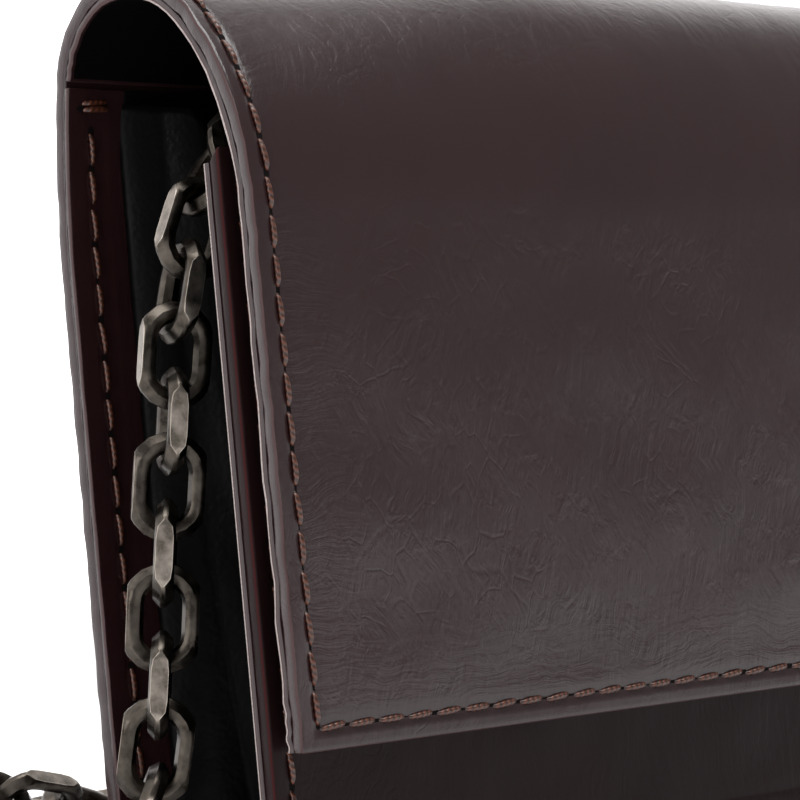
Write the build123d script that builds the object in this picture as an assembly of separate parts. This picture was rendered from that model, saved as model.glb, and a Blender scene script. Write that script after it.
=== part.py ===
from build123d import *
import bisect
import math
import os

# A small flap-over wallet with a carrying chain. Millimetres, +Z up.
# The origin is on the ground under the middle of the wallet; the flap's front faces -Y.

# Overall sizes of the closed wallet
width = 190.0
depth = 40.0
height = 115.0

# Leather work
skin = 1.2               # outer leather
board = 0.8              # stiffening board, buried between skin and facing
facing = 1.0             # turned-over leather and lining behind the board
wall = skin + board + facing
board_margin = 5.0       # how far a board stops short of the sewn edges
hem = 9.0                # turned-over strip down each side of the back
fold_gap = 0.3           # slit between the back and the flap along the fold line
clearance = 0.3          # between pieces that move past each other

# Outline of back, crown and flap seen from the side, front to back
shoulder_radius = 40.0
heel_radius = 13.5
back_radius = 151.0
shoulder_end = 51.0      # slope, in degrees above level, where shoulder meets crown
heel_end = 80.0          # slope, in degrees below level, where heel meets back
flap_hem_height = 17.0   # the flap's lower edge above the ground

# Front panel
front_setback = 5.8      # flap's face to front panel's face
front_height = 90.5
front_top_slope = 2.8
hinge_radius = wall / 2
base_gap = 0.4           # base to front panel, which rocks

# Base, side gussets
base_skin = 1.6
base_lining = 0.6
floor_level = base_skin + board + base_lining
gusset_skin = 1.2
gusset_fold_inset = 23.5   # side of the wallet to the gusset's inner fold
gusset_fold_y = 1.0
gusset_back_height = 102.5
gusset_dip_height = 85.0
gusset_flange = 8.0      # glued behind the hem
gusset_lip = 4.0         # sewn strip along the front panel
gusset_lip_inset = 1.0
gusset_rim_drop = 2.0    # rise and fall along the gusset's upper rim
gusset_rim_step = 8.0

# Zipped middle pocket
pocket_y = 1.0
pocket_room = 4.6
pocket_wall = 1.0
pocket_end = 4.0
pocket_inset = 27.0      # side of the wallet to the pocket's end
pocket_top = 94.0
tape_thick = 0.6
tape_below_top = 1.5
tooth_pitch = 2.0
tooth_width = 1.1
tooth_height = 1.2
tooth_length = 1.5
teeth_parting = 1.2
zip_margin = 6.0
stop_length = 2.4

slider_length = 8.0
slider_plate = 1.0
slider_post = 0.6
slider_room = 16.0       # zip's end to the slider's middle at either end of its travel
ear = 0.8
pull_length = 11.0
pull_thick = 1.2
pull_eye_radius = 0.9
pull_width = 1.6
pull_pin_radius = 0.6
pin_clearance = 0.05
pull_rise = 1.3

# Card slots and slip pocket
card_leather = 1.0
card_slots = 4
card_drop = 3.0          # top slot's edge below where the back starts to bow
card_step = 8.0
card_bottom = 14.0
card_inset = 23.0        # side of the wallet to the slots' ends
slip_height = 66.0
slip_bottom = 6.0
slip_inset = 20.0

# Snap fastener
snap_height = 40.0
snap_radius = 7.0
snap_cup = 1.4
snap_plate = 1.0
snap_nub_radius = 2.25
snap_nub = 0.9
snap_well_radius = 3.5
snap_well = 1.1
washer_radius = 6.0
washer_thick = 0.4

# Chain and its end rings
link_wire = 2.65
link_pitch = 8.15
link_play = 0.38
link_width = 10.0        # before the sides are ground flat
link_flat = 0.55         # ground off each side
link_length = link_pitch + 2 * link_wire + link_play
ring_wire = 2.4
ring_width = 13.4
ring_reach = 10.5        # bar to bow, along the wire's middle
ring_tilt = 35.0         # degrees the ring hangs below level
ring_bar_height = 100.4
ring_corner = 1.6
tab_width = 8.0
tab_leather = 1.0
tab_bottom = 82.0
rivet_height = 89.5
rivet_radius = 1.0
rivet_head_radius = 2.0
rivet_head = 0.6
hole_play = 0.05

# The chain's route as it is stored: down from the left ring, round one loop on the ground,
# to and fro behind the wallet and up to the right ring. Chosen by hand.
ground_z = 4.25
over_z = 12.3
fineness = 8000          # samples along the route
halvings = 20            # steps that home in on a length
settling_rounds = 4
steep = 0.75             # a link whose direction rises faster isn't lying down
turning_links = 7        # links at each end that turn square to the rings
ground_groups = 5
left_route = [
    (-84.4, -2.0, 90.8), (-89.6, -2.2, 83.0), (-92.4, -1.3, 74.4), (-94.4, -0.1, 59.2),
    (-96.0, 1.6, 42.8), (-97.6, 2.9, 26.4), (-99.0, 4.8, 14.0), (-99.8, 9.6, 6.6),
]
loop_route = [
    (-100.2, 17.4, ground_z), (-100.0, 28.0, ground_z), (-100.0, 40.0, ground_z),
    (-101.2, 52.0, ground_z), (-107.0, 62.6, ground_z), (-118.0, 66.8, ground_z),
    (-128.4, 61.6, ground_z), (-131.4, 51.0, 4.4), (-125.4, 42.6, 6.2),
    (-115.2, 40.2, 9.2), (-104.6, 40.6, over_z), (-94.4, 41.4, over_z),
    (-84.0, 41.2, 9.2), (-73.8, 39.6, 5.2), (-63.0, 37.6, ground_z),
]
run_route = [
    (-34.0, 33.8, ground_z), (0.0, 32.6, ground_z), (34.0, 33.4, ground_z),
    (58.0, 32.4, ground_z), (74.6, 36.0, ground_z), (83.6, 49.0, ground_z),
    (76.0, 62.0, ground_z), (59.0, 65.6, ground_z), (30.0, 64.4, ground_z),
    (-4.0, 65.8, ground_z), (-38.0, 64.8, ground_z), (-58.0, 65.6, ground_z),
    (-74.4, 69.6, ground_z), (-83.0, 82.2, ground_z), (-75.0, 94.6, ground_z),
    (-58.0, 98.2, ground_z), (-28.0, 97.0, ground_z), (8.0, 98.4, ground_z),
    (42.0, 97.2, ground_z), (66.0, 97.0, ground_z), (85.0, 91.0, ground_z),
    (97.0, 76.0, ground_z), (100.6, 57.0, ground_z), (100.8, 37.0, ground_z),
    (100.6, 17.4, ground_z),
]
right_route = [
    (100.0, 9.6, 6.6), (99.2, 4.8, 14.0), (97.8, 3.0, 26.4), (96.2, 1.6, 42.8),
    (94.6, 0.1, 59.2), (92.4, -1.3, 74.4), (89.6, -2.2, 83.0), (84.4, -2.0, 90.8),
]

# Places worked out from the sizes above
half_width = width / 2
front_face = -depth / 2
back_face = depth / 2
inner_back = back_face - wall
panel_face = front_face + front_setback
panel_rear = panel_face + wall
pocket_front = pocket_y - pocket_room / 2
pocket_rear = pocket_y + pocket_room / 2
pocket_half = half_width - pocket_inset
tape_z = pocket_top - tape_below_top
teeth_z = tape_z + tape_thick
zip_half = pocket_half - zip_margin
slider_start = slider_room - zip_half
card_half = half_width - card_inset
slip_half = half_width - slip_inset
gusset_low = floor_level


def sine(angle):
    return math.sin(math.radians(angle))


def cosine(angle):
    return math.cos(math.radians(angle))


crown_radius = (
    depth
    - shoulder_radius * (1 - sine(shoulder_end))
    - heel_radius * sine(heel_end)
    - back_radius * (1 - sine(heel_end))
) / sine(shoulder_end)
crown_start = height - crown_radius * (1 - cosine(shoulder_end))
shoulder_start = crown_start - shoulder_radius * cosine(shoulder_end)
fold_z = height - heel_radius * (1 - cosine(heel_end))
fold_y = back_face - back_radius * (1 - sine(heel_end))
back_flat_top = fold_z - back_radius * cosine(heel_end)


def save(name, *solids):
    """Writes one piece, or a group of like solids, as one named part."""
    shape = solids[0] if len(solids) == 1 else Compound(children=list(solids))
    export_step(shape, f"parts/{name}.step")


def block(x, y, z):
    """A box from its low and high limits along X, Y and Z."""
    middle = ((x[0] + x[1]) / 2, (y[0] + y[1]) / 2, (z[0] + z[1]) / 2)
    return Pos(*middle) * Box(x[1] - x[0], y[1] - y[0], z[1] - z[0])


def disc(radius, y, centre):
    """A round plate standing across Y between two depths; centre is its (x, z)."""
    return Pos(centre[0], (y[0] + y[1]) / 2, centre[1]) * Rot(90, 0, 0) * Cylinder(radius, y[1] - y[0])


def lengthwise(outline, half_length):
    """Extrudes a side outline, drawn as (y, z), both ways along X."""
    return extrude(Plane.YZ * make_face(outline), half_length, both=True)


def flap_edges(inset):
    """The flap's side outline from its hem over the crown to the fold, moved inwards by inset."""
    front = Line((front_face + inset, flap_hem_height), (front_face + inset, shoulder_start))
    shoulder = JernArc(front @ 1, (0, 1), shoulder_radius - inset, shoulder_end - 90)
    crown = JernArc(shoulder @ 1, shoulder % 1, crown_radius - inset, -shoulder_end)
    heel = JernArc(crown @ 1, crown % 1, heel_radius - inset, -heel_end)
    return [front, shoulder, crown, heel]


def back_edges(inset):
    """The back's side outline from the fold down to the ground, moved inwards by inset."""
    start = (fold_y - inset * sine(heel_end), fold_z - inset * cosine(heel_end))
    bow = JernArc(start, (cosine(heel_end), -sine(heel_end)), back_radius - inset, heel_end - 90)
    return [bow, Line(bow @ 1, (back_face - inset, 0))]


def layer(edges, outer, inner, half_length):
    """One leather layer between two insets of an outline."""
    far, near = edges(outer), edges(inner)
    ends = [Line(far[0] @ 0, near[0] @ 0), Line(far[-1] @ 1, near[-1] @ 1)]
    return lengthwise(Curve() + far + near + ends, half_length)


def ribbon(points, thick):
    """A strip of constant thickness along a bent line, with mitred corners."""
    sides = ([], [])
    for i, point in enumerate(points):
        here = Vector(*point)
        before = (here - Vector(*points[i - 1])).normalized() if i else None
        after = (Vector(*points[i + 1]) - here).normalized() if i < len(points) - 1 else None
        lead, tail = before or after, after or before
        normal_a, normal_b = Vector(-lead.Y, lead.X), Vector(-tail.Y, tail.X)
        mitre = (normal_a + normal_b).normalized()
        reach = thick / 2 / mitre.dot(normal_a)
        sides[0].append(here + mitre * reach)
        sides[1].append(here - mitre * reach)
    return make_face(Polyline(*sides[0], *reversed(sides[1]), close=True))


def mirrored(solid):
    return mirror(solid, about=Plane.YZ)


os.makedirs("parts", exist_ok=True)

# ---- Back of the wallet: skin, buried board, lining, turned-over side strips
board_half = half_width - board_margin
fold_slit = Pos(0, fold_y, fold_z) * Rot(heel_end - 90, 0, 0) * Box(width + wall, 4 * wall, 2 * fold_gap)
back_body = layer(back_edges, 0, skin + board, half_width) - fold_slit
back_stiffener = block(
    (-board_half, board_half),
    (back_face - skin - board, back_face - skin),
    (board_margin, back_flat_top - board_margin),
)
save("back_leather", back_body - back_stiffener)
save("back_board", back_stiffener)
back_inside = layer(back_edges, skin + board, wall, half_width) - fold_slit
lining_zone = block((hem - half_width, half_width - hem), (0, depth), (0, height))
save("back_lining", back_inside & lining_zone)
hem_zone = block((half_width - hem, half_width), (0, depth), (0, height))
save("back_side_hems", back_inside & hem_zone, back_inside & mirrored(hem_zone))

# ---- Base
base_y = (panel_rear + base_gap, inner_back)
base_half = half_width - hem
save("base_leather", block((-base_half, base_half), base_y, (0, base_skin)))
save("base_board", block((-base_half, base_half), base_y, (base_skin, base_skin + board)))
save("base_lining", block((-base_half, base_half), base_y, (base_skin + board, floor_level)))

# ---- Front panel, standing on a round lower edge that it rocks open on
panel_mid = (panel_face + panel_rear) / 2
panel_outline = Curve() + [
    Line((panel_face, hinge_radius), (panel_face, front_height)),
    Line((panel_face, front_height), (panel_rear, front_height - front_top_slope)),
    Line((panel_rear, front_height - front_top_slope), (panel_rear, hinge_radius)),
    ThreePointArc((panel_rear, hinge_radius), (panel_mid, 0), (panel_face, hinge_radius)),
]
panel = lengthwise(panel_outline, half_width)
panel_split = panel_face + skin + board
panel_stiffener = block(
    (-board_half, board_half),
    (panel_face + skin, panel_split),
    (board_margin, front_height - board_margin),
)
outer_half = block((-width, width), (front_face, panel_split), (-wall, height))
save("front_leather", (panel & outer_half) - panel_stiffener)
save("front_board", panel_stiffener)
save("front_lining", panel - outer_half)

# ---- Flap
flap_body = layer(flap_edges, 0, skin + board, half_width)
flap_stiffener = block(
    (-board_half, board_half),
    (front_face + skin, front_face + skin + board),
    (flap_hem_height + board_margin, shoulder_start),
)
save("flap_leather", flap_body - flap_stiffener)
save("flap_board", flap_stiffener)
save("flap_lining", layer(flap_edges, skin + board, wall, half_width))

# ---- Side gussets: one soft fold inwards between the back and the front panel
flange_y = inner_back - gusset_skin / 2
lip_y = panel_rear + clearance + gusset_skin / 2
gusset_line = [
    (half_width - hem - gusset_flange, flange_y),
    (half_width - hem, flange_y),
    (half_width - gusset_fold_inset, gusset_fold_y),
    (half_width - gusset_lip_inset - gusset_lip, lip_y),
    (half_width - gusset_lip_inset, lip_y),
]
gusset = extrude(ribbon(gusset_line, gusset_skin), gusset_back_height - gusset_low)
gusset = Pos(0, 0, gusset_low) * gusset
rim_y = (back_face, panel_face)
half_drop = gusset_rim_drop / 2
gusset_cut = Curve() + Polyline(
    (rim_y[0], gusset_back_height),
    (gusset_fold_y + gusset_rim_step, gusset_back_height - gusset_rim_drop),
    (gusset_fold_y + gusset_rim_drop, gusset_dip_height + half_drop),
    (gusset_fold_y - gusset_rim_step, gusset_dip_height - half_drop),
    (rim_y[1], gusset_dip_height + half_drop), (rim_y[1], height), (rim_y[0], height),
    close=True,
)
gusset = gusset - lengthwise(gusset_cut, width) - layer(back_edges, 0, wall, width)
save("gusset_right", gusset)
save("gusset_left", mirrored(gusset))

# ---- Zipped middle pocket: two walls on a U-shaped edging
pocket_z = (floor_level, pocket_top)
pocket_x = (-pocket_half, pocket_half)
save("pocket_wall_front", block(pocket_x, (pocket_front - pocket_wall, pocket_front), pocket_z))
save("pocket_wall_rear", block(pocket_x, (pocket_rear, pocket_rear + pocket_wall), pocket_z))
rivet_x = pocket_half - pocket_end - rivet_head
rivet_end = pocket_half + 2 * tab_leather + rivet_head


def along_x(radius, x, y, z):
    """A round bar along X between two limits."""
    return Pos((x[0] + x[1]) / 2, y, z) * Rot(0, 90, 0) * Cylinder(radius, x[1] - x[0])


edging = block(pocket_x, (pocket_front, pocket_rear), pocket_z)
edging -= block(
    (pocket_end - pocket_half, pocket_half - pocket_end),
    (pocket_front, pocket_rear),
    (floor_level + pocket_wall, pocket_top),
)
rivet_hole = along_x(rivet_radius + hole_play, (rivet_x, rivet_end), pocket_y, rivet_height)
save("pocket_edging", edging - rivet_hole - mirrored(rivet_hole))

# ---- Zip: tapes, two rows of teeth parted by the slider's post, stops
teeth_edge = teeth_parting / 2
tape_span = (-zip_half - zip_margin / 3, zip_half + zip_margin / 3)
tape_reach = tooth_length / 2 + teeth_edge
save(
    "zip_tapes",
    block(tape_span, (pocket_front, pocket_y - tape_reach), (tape_z, teeth_z)),
    block(tape_span, (pocket_y + tape_reach, pocket_rear), (tape_z, teeth_z)),
)
tooth_count = int(2 * (zip_half - stop_length) / tooth_pitch)
tooth_start = -tooth_count * tooth_pitch / 2


def teeth(side, shift):
    """One row of teeth on the tape at that side of the zip."""
    near, far = teeth_edge, teeth_edge + tooth_length
    y = (pocket_y + near, pocket_y + far) if side > 0 else (pocket_y - far, pocket_y - near)
    row = []
    for i in range(tooth_count):
        x = tooth_start + shift + i * tooth_pitch
        row.append(block((x, x + tooth_width), y, (teeth_z, teeth_z + tooth_height)))
    return row


save("zip_teeth_front", *teeth(-1, 0))
save("zip_teeth_rear", *teeth(1, tooth_pitch / 2))
stop_y = (pocket_y - teeth_edge - tooth_length, pocket_y + teeth_edge + tooth_length)
stop_x = (zip_half - stop_length / 2, zip_half + stop_length / 2)
stop = block(stop_x, stop_y, (teeth_z, teeth_z + tooth_height))
save("zip_stops", stop, mirrored(stop))

# ---- Slider and its pull
plate_y = stop_y[0] - clearance, stop_y[1] + clearance
slider_x = (slider_start - slider_length / 2, slider_start + slider_length / 2)
top_z = teeth_z + tooth_height + clearance
low_y = (pocket_front + clearance, pocket_rear - clearance)
slider = block(slider_x, plate_y, (top_z, top_z + slider_plate))
slider += block(slider_x, low_y, (tape_z - clearance - slider_plate, tape_z - clearance))
post_x = (slider_x[0], slider_x[0] + slider_length / 4)
post_y = (pocket_y - slider_post / 2, pocket_y + slider_post / 2)
slider += block(post_x, post_y, (tape_z - clearance, top_z))
pull_z = top_z + slider_plate + pull_rise
ear_gap = pull_width / 2 + clearance
ear_x = (slider_start - ear - pull_pin_radius, slider_start + ear + pull_pin_radius)
for low, high in ((-ear_gap - ear, -ear_gap), (ear_gap, ear_gap + ear)):
    ear_y = (pocket_y + low, pocket_y + high)
    slider += block(ear_x, ear_y, (top_z + slider_plate, pull_z + ear + pull_pin_radius))
pin_hole = Pos(slider_start, pocket_y, pull_z) * Rot(90, 0, 0) * Cylinder(
    pull_pin_radius + pin_clearance, 4 * (ear_gap + ear)
)
save("zip_slider", slider - pin_hole)
pull = Pos(slider_start, pocket_y, pull_z) * Rot(90, 0, 0) * Cylinder(pull_pin_radius, 2 * (ear_gap + ear))
pull += Pos(slider_start, pocket_y, pull_z) * Rot(90, 0, 0) * Cylinder(pull_eye_radius, pull_width)
pull_y = (pocket_y - pull_width / 2, pocket_y + pull_width / 2)
pull_x = (slider_start, slider_start + pull_length)
pull += block(pull_x, pull_y, (pull_z - pull_thick / 2, pull_z + pull_thick / 2))
save("zip_pull", pull)

# ---- Card slots on the back lining, slip pocket behind the front panel
for number in range(card_slots):
    rear = inner_back - number * card_leather
    top = back_flat_top - card_drop - number * card_step
    save(
        f"card_slot_{number + 1}",
        block((-card_half, card_half), (rear - card_leather, rear), (card_bottom, top)),
    )
slip_y = (panel_rear, panel_rear + card_leather)
save("slip_pocket", block((-slip_half, slip_half), slip_y, (slip_bottom, slip_height)))

# ---- Snap fastener: stud in the flap, cup on the front panel
snap_at = (0, snap_height)
flap_rear = front_face + wall
stud = disc(snap_radius, (flap_rear, flap_rear + snap_plate), snap_at)
stud += disc(snap_nub_radius, (flap_rear + snap_plate, flap_rear + snap_plate + snap_nub), snap_at)
save("snap_stud", stud)
cup = disc(snap_radius, (panel_face - snap_cup, panel_face), snap_at)
well_y = (panel_face - snap_cup, panel_face - snap_cup + snap_well)
save("snap_cup", cup - disc(snap_well_radius, well_y, snap_at))
washer_y = panel_rear + card_leather
save("snap_washer", disc(washer_radius, (washer_y, washer_y + washer_thick), snap_at))

# ---- Ring tabs: a strap folded round each ring's bar and riveted to the pocket's end
tab_x = pocket_half + tab_leather
tab_hole = ring_wire / 2 + 3 * hole_play
tail_top = ring_bar_height - tab_hole
tab_sides = (pocket_half, pocket_half + 2 * tab_leather)
tab = block(tab_sides, (-tab_width / 2, tab_width / 2), (tab_bottom, tail_top))
tab += Pos(tab_x, 0, ring_bar_height) * Rot(90, 0, 0) * Cylinder(tab_hole + tab_leather, tab_width)
tab -= Pos(tab_x, 0, ring_bar_height) * Rot(90, 0, 0) * Cylinder(tab_hole, 2 * tab_width)
tab = Pos(0, pocket_y, 0) * tab - rivet_hole
save("ring_tab_right", tab)
save("ring_tab_left", mirrored(tab))
rivet = along_x(rivet_radius, (rivet_x, rivet_end), pocket_y, rivet_height)
rivet += along_x(rivet_head_radius, (rivet_x, rivet_x + rivet_head), pocket_y, rivet_height)
rivet += along_x(rivet_head_radius, (rivet_end - rivet_head, rivet_end), pocket_y, rivet_height)
save("tab_rivets", rivet, mirrored(rivet))

# ---- D-shaped rings, hanging outwards from their tabs
bow_half = (ring_width - ring_wire) / 2
bow = ring_reach - bow_half
ring_path = Curve() + [
    Line((ring_corner, -bow_half), (bow, -bow_half)),
    ThreePointArc((bow, -bow_half), (ring_reach, 0), (bow, bow_half)),
    Line((bow, bow_half), (ring_corner, bow_half)),
    RadiusArc((ring_corner, bow_half), (0, bow_half - ring_corner), -ring_corner),
    Line((0, bow_half - ring_corner), (0, ring_corner - bow_half)),
    RadiusArc((0, ring_corner - bow_half), (ring_corner, -bow_half), -ring_corner),
]
ring_start = Plane(origin=(0, 0, 0), x_dir=(1, 0, 0), z_dir=(0, 1, 0))
ring = sweep(ring_start * Circle(ring_wire / 2), path=Wire(ring_path.edges()))
ring = Pos(tab_x, pocket_y, ring_bar_height) * Rot(0, ring_tilt, 0) * ring
save("ring_right", ring)
save("ring_left", mirrored(ring))

# ---- Chain links
leg = (link_length - link_width) / 2
bend = (link_width - link_wire) / 2
link_path = Curve() + [
    Line((-leg, -bend), (leg, -bend)),
    ThreePointArc((leg, -bend), (leg + bend, 0), (leg, bend)),
    Line((leg, bend), (-leg, bend)),
    ThreePointArc((-leg, bend), (-leg - bend, 0), (-leg, -bend)),
]
link_start = Plane(origin=(0, -bend, 0), x_dir=(0, 1, 0), z_dir=(1, 0, 0))
link = sweep(link_start * Circle(link_wire / 2), path=Wire(link_path.edges()))
link = link & Box(2 * link_length, link_width - 2 * link_flat, 2 * link_wire)

bow_out = tab_x + ring_reach * cosine(ring_tilt)
bow_z = ring_bar_height - ring_reach * sine(ring_tilt)
route = [(-bow_out, pocket_y, bow_z)] + left_route + loop_route + run_route + right_route
route.append((bow_out, pocket_y, bow_z))
line = Spline(*[Vector(*point) for point in route])
samples = [line.position_at(i / fineness) for i in range(fineness + 1)]
samples = [Vector(p.X, p.Y, max(p.Z, ground_z)) for p in samples]
lengths = [0.0]
for before, after in zip(samples, samples[1:]):
    lengths.append(lengths[-1] + (after - before).length)

end_reach = (link_length - link_wire) / 2
first_step = end_reach - (link_wire + ring_wire) / 2 - link_play / 2


def at(run):
    """The point that far along the route."""
    i = min(max(bisect.bisect_right(lengths, run) - 1, 0), fineness - 1)
    share = (run - lengths[i]) / (lengths[i + 1] - lengths[i])
    return samples[i] + (samples[i + 1] - samples[i]) * share


def ahead(run, gap):
    """How far along the route the next point lies at a straight distance of gap."""
    start, low, high = at(run), run + 0.5 * gap, run + 2 * gap
    for _ in range(halvings):
        middle = (low + high) / 2
        if (at(middle) - start).length < gap:
            low = middle
        else:
            high = middle
    return high


def march(gaps):
    """Where each link's middle lies along the route, with those straight gaps between them."""
    runs = [ahead(0, first_step)]
    for gap in gaps:
        runs.append(ahead(runs[-1], gap))
    return runs


def tangents_of(runs):
    """Each link points along the chord between its neighbours."""
    ends = [samples[0]] + [at(run) for run in runs] + [at(runs[-1] + first_step)]
    return [(ends[i + 2] - ends[i]).normalized() for i in range(len(runs))]


def lay(play):
    """The links' middles along the route with that much play in every joint. Two links meet
    where their round ends cross, so a bend draws their middles together."""
    gaps = [link_pitch] * (link_count - 1)
    for _ in range(settling_rounds):
        runs = march(gaps)
        middles = [at(run) for run in runs]
        tangents = tangents_of(runs)
        for i in range(link_count - 1):
            chord = (middles[i + 1] - middles[i]).normalized()
            bent = tangents[i].dot(chord) + tangents[i + 1].dot(chord)
            gaps[i] = end_reach * bent - link_wire - play
    return runs


# The play is eased a little, so that the last link meets the right ring
link_count = 1 + round((lengths[-1] - 2 * first_step) / (link_pitch - link_play / 4))
low_play, high_play = 0.0, 2 * link_play
for _ in range(halvings):
    play = (low_play + high_play) / 2
    if lay(play)[-1] + first_step > lengths[-1]:
        low_play = play
    else:
        high_play = play
runs = lay(play)
middles = [at(run) for run in runs]
tangents = tangents_of(runs)
print("chain:", link_count, "links, play", round(play, 3), "route", round(lengths[-1]), "mm")

# A link lying on the ground rests on two corners, so it leans 45 degrees to one side or the
# other. Up the drops the same lean carries on, and the end links turn square to their rings.
up = Vector(0, 0, 1)
lying = [i for i in range(link_count) if abs(tangents[i].Z) < steep and middles[i].Z < 2 * over_z]
sides = {i: up.cross(tangents[i]).normalized() for i in lying}
for i in range(lying[0] - 1, -1, -1):
    sides[i] = (sides[i + 1] - tangents[i] * sides[i + 1].dot(tangents[i])).normalized()
for i in range(lying[-1] + 1, link_count):
    sides[i] = (sides[i - 1] - tangents[i] * sides[i - 1].dot(tangents[i])).normalized()


def placed(i):
    """Link number i where it lies."""
    lean = -45 if i % 2 else 45
    left_turn = max(turning_links - i, 0) / turning_links
    right_turn = max(turning_links - (link_count - 1 - i), 0) / turning_links
    last_lean = 45 if link_count % 2 else -45
    lean += 90 + 45 * left_turn + last_lean * right_turn
    normal = tangents[i].cross(sides[i]) * cosine(lean) + sides[i] * sine(lean)
    return Plane(origin=middles[i], x_dir=tangents[i], z_dir=normal) * link


links = [placed(i) for i in range(link_count)]
save("chain_left_drop", *links[: lying[0]])
save("chain_right_drop", *links[lying[-1] + 1:])
on_ground = links[lying[0]: lying[-1] + 1]
group = math.ceil(len(on_ground) / ground_groups)
for number in range(ground_groups):
    save(f"chain_stored_{number + 1}", *on_ground[number * group: (number + 1) * group])
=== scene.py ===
import math
import random

import bmesh
import bpy
import numpy as np
from mathutils import Matrix, Vector


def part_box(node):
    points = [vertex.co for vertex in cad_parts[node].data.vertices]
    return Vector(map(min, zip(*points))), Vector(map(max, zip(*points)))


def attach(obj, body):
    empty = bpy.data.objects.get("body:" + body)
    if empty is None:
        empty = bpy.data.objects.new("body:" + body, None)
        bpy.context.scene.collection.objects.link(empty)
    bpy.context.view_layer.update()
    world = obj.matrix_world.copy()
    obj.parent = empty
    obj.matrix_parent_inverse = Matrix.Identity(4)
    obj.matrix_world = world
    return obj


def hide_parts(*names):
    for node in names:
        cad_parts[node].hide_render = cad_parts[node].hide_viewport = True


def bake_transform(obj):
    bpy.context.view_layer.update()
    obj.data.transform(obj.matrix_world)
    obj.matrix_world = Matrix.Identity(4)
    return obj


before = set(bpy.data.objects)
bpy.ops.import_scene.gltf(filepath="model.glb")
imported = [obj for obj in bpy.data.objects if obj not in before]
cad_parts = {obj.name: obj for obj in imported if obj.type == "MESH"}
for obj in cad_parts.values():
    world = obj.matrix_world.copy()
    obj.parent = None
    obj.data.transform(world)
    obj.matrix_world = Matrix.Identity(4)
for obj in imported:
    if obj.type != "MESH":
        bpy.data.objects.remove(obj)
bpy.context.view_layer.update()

mm = 0.001


# ---- Studio: a matt white floor that runs out of sight, white surroundings that are bright
# behind and dim in front, one wide soft light overhead and a weaker one on the left.
def linear(code):
    """An sRGB hex colour as a linear colour with full alpha."""
    parts = [int(code[i:i + 2], 16) / 255 for i in (1, 3, 5)]
    return [p / 12.92 if p <= 0.04045 else ((p + 0.055) / 1.055) ** 2.4 for p in parts] + [1.0]


def add_node(tree, kind, inputs=None, **settings):
    """Adds a shader node, or another by its full name, makes its settings, then sets or links
    each named or numbered input. A node given as an input stands for its first output in use."""
    other = kind.startswith(("GeometryNode", "FunctionNode", "NodeGroup"))
    node = tree.nodes.new(kind if other else "ShaderNode" + kind)
    for name, value in settings.items():
        setattr(node, name, value)
    for name, value in (inputs or {}).items():
        if isinstance(value, bpy.types.Node):
            value = next(socket for socket in value.outputs if socket.enabled)
        if isinstance(value, bpy.types.NodeSocket):
            tree.links.new(value, node.inputs[name])
        else:
            node.inputs[name].default_value = value
    return node


def new_material(name):
    """An empty material and its tree."""
    material = bpy.data.materials.new(name)
    material.use_nodes = True
    material.node_tree.nodes.clear()
    return material, material.node_tree


def show(tree, shader):
    """Ends a material's tree in its shader."""
    add_node(tree, "OutputMaterial", {"Surface": shader})


def add_object(name, mesh, *materials):
    """Puts a mesh into the scene at the origin."""
    made = bpy.data.objects.new(name, mesh)
    bpy.context.scene.collection.objects.link(made)
    for material in materials:
        mesh.materials.append(material)
    return made


# Painted board, matt: nothing but an even white with a trace of grain
floor_paint, tree = new_material("matt_white_floor_paint")
place = add_node(tree, "TexCoord")
grain = add_node(tree, "TexNoise", {"Vector": place.outputs["Object"], "Scale": 400.0, "Detail": 2.0})
relief = add_node(tree, "Bump", {"Height": grain, "Strength": 0.05, "Distance": 0.2 * mm})
show(tree, add_node(tree, "BsdfPrincipled", {
    "Base Color": linear("#f6f6f7"), "Roughness": 0.6, "Specular IOR Level": 0.2,
    "Normal": relief,
}))
floor_half = 12.0
floor_corners = [(x * floor_half, y * floor_half, 0) for x, y in ((-1, -1), (1, -1), (1, 1), (-1, 1))]
floor_mesh = bpy.data.meshes.new("floor")
floor_mesh.from_pydata(floor_corners, [], [(0, 1, 2, 3)])
add_object("floor", floor_mesh, floor_paint)

world = bpy.data.worlds.new("white_studio")
world.use_nodes = True
world.node_tree.nodes.clear()
tree = world.node_tree
front_level, back_level = 0.36, 2.1
toward = add_node(tree, "TexCoord")
axes = add_node(tree, "SeparateXYZ", {"Vector": toward.outputs["Generated"]})
level = add_node(tree, "MapRange", {
    "Value": axes.outputs["Y"], "From Min": -0.25, "From Max": 0.55,
    "To Min": front_level, "To Max": back_level,
}, interpolation_type="SMOOTHSTEP")
glow = add_node(tree, "Background", {"Color": linear("#fffdfd"), "Strength": level})
add_node(tree, "OutputWorld", {"Surface": glow})
bpy.context.scene.world = world
bpy.context.scene.view_settings.view_transform = "Standard"


def softbox(name, place, target, width, height, power):
    """A rectangular soft light of that size and power that faces the target."""
    light = bpy.data.lights.new(name, "AREA")
    light.shape, light.size, light.size_y, light.energy = "RECTANGLE", width, height, power
    lamp = bpy.data.objects.new(name, light)
    lamp.location = place
    lamp.rotation_mode = "QUATERNION"
    lamp.rotation_quaternion = (Vector(target) - Vector(place)).to_track_quat("-Z", "Y")
    bpy.context.scene.collection.objects.link(lamp)


softbox("overhead_softbox", (-0.1, -0.3, 1.1), (0, 0, 0.08), 1.1, 0.5, 16.0)
softbox("left_softbox", (-1.3, -0.2, 0.5), (0, 0, 0.05), 0.5, 0.8, 7.0)

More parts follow.
